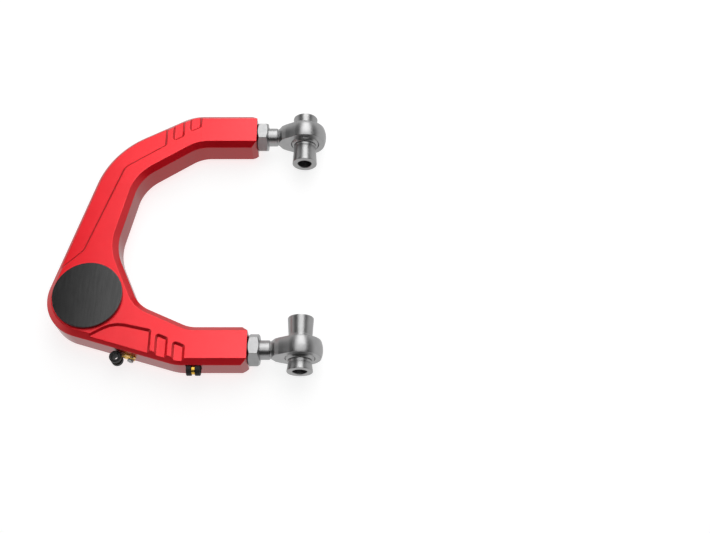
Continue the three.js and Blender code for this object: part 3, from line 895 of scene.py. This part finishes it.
def clamp_band():
    """A loop that is open between its two ends, each of which runs on into a tab."""
    b = BAND
    half = b["width"] / 2
    thick = TAB["thick"] / 2
    tab_from = CUSHION["rim_r"] + 2 * GAP
    neck_to = tab_from + GAP
    neck_from = math.sqrt(b["in_r"] ** 2 - OUTER_TAB_Y**2) + GAP
    loop = [(b["in_r"], -half), (b["out_r"], -half), (b["out_r"], half), (b["in_r"], half)]
    band = lathe(loop, CLAMP_STEPS)
    far = 2 * b["out_r"]
    wedge = [(0, 0), *[(far * math.cos(turn), far * math.sin(turn)) for turn in BAND_OPEN]]
    cut(band, slab(wedge, -b["width"], b["width"]))
    neck_start = -1
    inner_neck = [
        (neck_start, b["in_r"]),
        (neck_to, INNER_TAB_Y - thick),
        (neck_to, INNER_TAB_Y + thick),
        (neck_start, b["out_r"]),
    ]
    join(
        band,
        slab(inner_neck, -half, half),
        block((neck_from, OUTER_TAB_Y - thick, -half), (neck_to, OUTER_TAB_Y + thick, half)),
        tab_plate(INNER_TAB_Y, tab_from),
        tab_plate(OUTER_TAB_Y, tab_from),
    )
    bolt_hole = moved(rod(BOLT["r"] + GAP, -SPARE, SPARE, SMALL_STEPS), AT_BOLT)
    cut(band, bolt_hole, rod(b["in_r"], -SPARE / 2, SPARE / 2, CLAMP_STEPS))
    return bevelled(band, THIN_EDGE)


def clamp_washer():
    r, out_r, top = BOLT["r"] + GAP, WASHER["r"], OUTER_TAB_FACE - GAP
    low = top - WASHER["thick"]
    corners = [(r, low, 0.1), (out_r, low, 0.2), (out_r, top, 0.1), (r, top, 0.1)]
    return moved(lathe(filleted(corners), ROD_STEPS), AT_BOLT)


def clamp_bolt():
    head_base = OUTER_TAB_FACE - 2 * GAP - WASHER["thick"]
    head = hexagon(BOLT["flats"], BOLT["head"], 0.5, 0.6, 0.2, 0.15)
    moved(head, Matrix.Translation((0, 0, head_base - BOLT["head"] / 2)))
    start, end = head_base - BOLT["head"] / 2, CLAMP_STAND + BOLT["depth"]
    shank = [(0, start), (BOLT["r"], start), (BOLT["r"], end, 0.4), (0, end)]
    join(head, lathe(filleted(shank), ROD_STEPS))
    return moved(head, AT_BOLT)


# ---------------------------------------------------------------- assembly
def half_size(node, axis):
    low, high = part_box(node)
    return (high - low)[axis] / 2 / MM


def level(node, side, origin):
    """A node's lowest (side 0) or highest (side 1) z, in millimetres above origin."""
    return (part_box(node)[side].z - origin.z) / MM


piece("arm_body", arm_body(), placed(PIVOT), "arm", "anodised")

ring_low, ring_high = (level("uniball_snap_ring", side, BOSS_AT) for side in (0, 1))
cap_r, cap_top = half_size("cap_cover", 0), level("cap_cover", 1, BOSS_AT)
o_ring_z = (centre("cap_o_ring").z - BOSS_AT.z) / MM
o_ring_mid_r = half_size("cap_o_ring", 0) - O_RING_R
piece("uniball_snap_ring", snap_ring(ring_low, ring_high), placed(BOSS_AT), "arm", "boss_sleeve")
piece("cap_cover", cap_cover(cap_r, cap_top), placed(BOSS_AT), "arm", "cap", 60)
piece("cap_o_ring", o_ring(o_ring_mid_r, o_ring_z), placed(BOSS_AT), "arm", "rubber")

u = UNIBALL
race = bearing_race(u["race_r"], u["race_half"], u["ball_r"])
ball = bored_ball(u["ball_r"], u["ball_half"], u["bore_r"])
upper = uniball_sleeve(level("uniball_upper_spacer", 1, UNIBALL_AT))
lower = uniball_sleeve(-level("uniball_lower_spacer", 0, UNIBALL_AT))
piece("uniball_race", race, placed(UNIBALL_AT), "arm", "boss_ball")
piece("uniball_ball", ball, placed(UNIBALL_AT), "uniball", "boss_ball")
piece("uniball_upper_spacer", upper, placed(UNIBALL_AT), "uniball_spacers", "boss_sleeve")
piece("uniball_lower_spacer", lower, placed(UNIBALL_AT, FLIP), "uniball_spacers", "boss_sleeve")

for side, at, outwards, inwards in [
    ("front", FRONT, TURN_TO_MINUS_Y, TURN_TO_Y),
    ("rear", REAR, TURN_TO_Y, TURN_TO_MINUS_Y),
]:
    j = JOINT_BALL
    low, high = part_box(f"{side}_outer_spacer")
    short = max(abs(low.y - at.y), abs(high.y - at.y)) / MM
    low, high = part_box(f"{side}_inner_spacer")
    long = max(abs(low.y - at.y), abs(high.y - at.y)) / MM
    race = bearing_race(j["race_r"], j["race_half"], j["r"])
    ball = bored_ball(j["r"], j["half"], j["bore_r"])
    piece(f"{side}_rod_end_body", rod_end_body(), placed(at), f"{side}_rod_end", "steel")
    piece(f"{side}_rod_end_race", race, placed(at, TURN_TO_Y), f"{side}_rod_end", "ball")
    piece(f"{side}_rod_end_ball", ball, placed(at, TURN_TO_Y), f"{side}_ball", "ball")
    spacers = f"{side}_spacers"
    piece(f"{side}_outer_spacer", bolt_sleeve(short), placed(at, outwards), spacers, "sleeve")
    piece(f"{side}_inner_spacer", bolt_sleeve(long), placed(at, inwards), spacers, "sleeve")
    corners_across = TURN_TO_X @ Matrix.Rotation(math.pi / 2, 4, "Z")
    nut_at = placed(centre(f"{side}_jam_nut"), corners_across)
    piece(f"{side}_jam_nut", jam_nut(), nut_at, f"{side}_jam_nut", "nut")

for name, place in CLAMPS.items():
    loop_body = name if name == "outer_clamp" else "arm"
    in_row = placed(PIVOT) @ place
    piece(f"{name}_cushion", clamp_cushion(), in_row, loop_body, "rubber")
    piece(f"{name}_band", clamp_band(), in_row, loop_body, "zinc")
    piece(f"{name}_washer", clamp_washer(), in_row, "arm", "nut")
    piece(f"{name}_bolt", clamp_bolt(), in_row, "arm", "nut")


# ---------------------------------------------------------------- floor, light and camera
def white_floor():
    """A pale disc at the lowest point. It takes shadows and stays out of reflections."""
    steps, r, drop = 96, 6.0, 0.0002
    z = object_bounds()[0].z - drop
    turns = [2 * math.pi * k / steps for k in range(steps)]
    points = [(PIVOT.x + r * math.cos(t), PIVOT.y + r * math.sin(t), z) for t in turns]
    floor = new_object("floor", points, [list(range(steps))])
    n = Nodes("floor", Roughness=1.0, Specular_IOR_Level=0.0, Emission_Strength=0.8)
    n.shader.inputs["Emission Color"].default_value = (1, 1, 1, 1)
    n.colour(n.noise(0.8, 2), [(0.3, grey(0.33)), (0.7, grey(0.35))])
    floor.data.materials.append(n.material)
    floor.visible_glossy = False
    floor.visible_diffuse = False
    floor.visible_shadow = False


def softbox(name, at, aim, size_x, size_y, radiance):
    light = bpy.data.lights.new(name, "AREA")
    light.shape = "RECTANGLE"
    light.size = size_x
    light.size_y = size_y
    light.energy = math.pi * size_x * size_y * radiance
    obj = bpy.data.objects.new(name, light)
    obj.location = at
    direction = Vector(aim) - Vector(at)
    obj.rotation_euler = direction.to_track_quat("-Z", "Y").to_euler()
    bpy.context.scene.collection.objects.link(obj)
    return obj


def surroundings():
    """A room with a pale floor and walls, dark overhead and above the horizon in front."""
    world = bpy.data.worlds.new("room")
    bpy.context.scene.world = world
    world.use_nodes = True
    nodes, links = world.node_tree.nodes, world.node_tree.links
    direction = nodes.new("ShaderNodeTexCoord").outputs["Generated"]
    split = nodes.new("ShaderNodeSeparateXYZ")
    links.new(direction, split.inputs["Vector"])
    height, depth = split.outputs["Z"], split.outputs["Y"]

    def spread(source, from_low, from_high, to_low, to_high):
        node = nodes.new("ShaderNodeMapRange")
        node.interpolation_type = "SMOOTHSTEP"
        node.inputs["From Min"].default_value = from_low
        node.inputs["From Max"].default_value = from_high
        node.inputs["To Min"].default_value = to_low
        node.inputs["To Max"].default_value = to_high
        links.new(source, node.inputs["Value"])
        return node.outputs["Result"]

    def product(first, second):
        node = nodes.new("ShaderNodeMath")
        node.operation = "MULTIPLY"
        links.new(first, node.inputs[0])
        links.new(second, node.inputs[1])
        return node.outputs["Value"]

    walls = spread(height, 0.1, 0.75, 0.8, 0.06)
    front = product(spread(height, 0.0, 0.35, 0, 1), spread(depth, -0.1, -0.5, 0, 0.85))
    links.new(product(walls, spread(front, 0, 1, 1, 0)), nodes["Background"].inputs["Color"])


CAMERA = {
    "sensor_width": 36,
    "lens": 51.2,
    "from_pivot": (53.0, -452.75, 921.0),
    "off_vertical": math.radians(24.6),
}


def camera():
    data = bpy.data.cameras.new("camera")
    data.sensor_width = CAMERA["sensor_width"]
    data.lens = CAMERA["lens"]
    obj = bpy.data.objects.new("camera", data)
    obj.location = PIVOT + Vector(CAMERA["from_pivot"]) * MM
    obj.rotation_euler = (CAMERA["off_vertical"], 0, 0)
    bpy.context.scene.collection.objects.link(obj)
    bpy.context.scene.camera = obj


white_floor()
surroundings()
DOWN = Vector((0, 0, -1))
wide = PIVOT + Vector((0.17, 1.2, 1.5))
core = PIVOT + Vector((0.22, 1.4, 1.45))  # lower than the wide one, so that neither hides the other
softbox("softbox", wide, wide + DOWN, 1.6, 3.9, 1.3)
softbox("softbox_core", core, core + DOWN, 1.04, 2.4, 1.1)
camera()
bpy.context.scene.view_settings.view_transform = "Standard"
